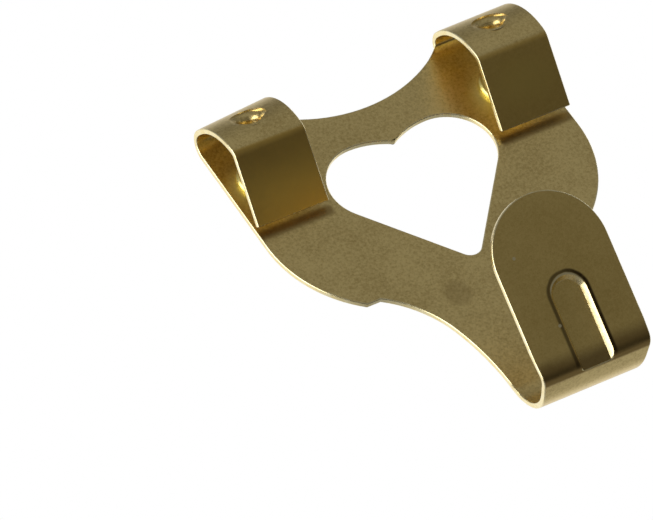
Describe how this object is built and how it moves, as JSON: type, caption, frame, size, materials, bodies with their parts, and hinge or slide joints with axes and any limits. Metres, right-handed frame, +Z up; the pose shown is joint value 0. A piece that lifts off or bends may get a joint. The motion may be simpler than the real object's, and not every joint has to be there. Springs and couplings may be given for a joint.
{
  "type": "picture hook",
  "caption": "Brass picture hook folded from one sheet, with looped fixing ears, a heart-shaped opening and an upturned lip that holds a picture's wire or ring against a wall.",
  "frame": {"origin": "on the back face, halfway between the two lower fixing holes and level with them", "axes": "+Z up the wall, +Y into the wall, so the front and the lip face -Y, and +X to the right as seen from the front"},
  "size_m": [0.0374, 0.0168, 0.0479],
  "materials": {
    "brass": "dull rolled sheet with bright punched edges"
  },
  "bodies": {
    "root": {"picture_hook": "brass"}
  },
  "joints": []
}
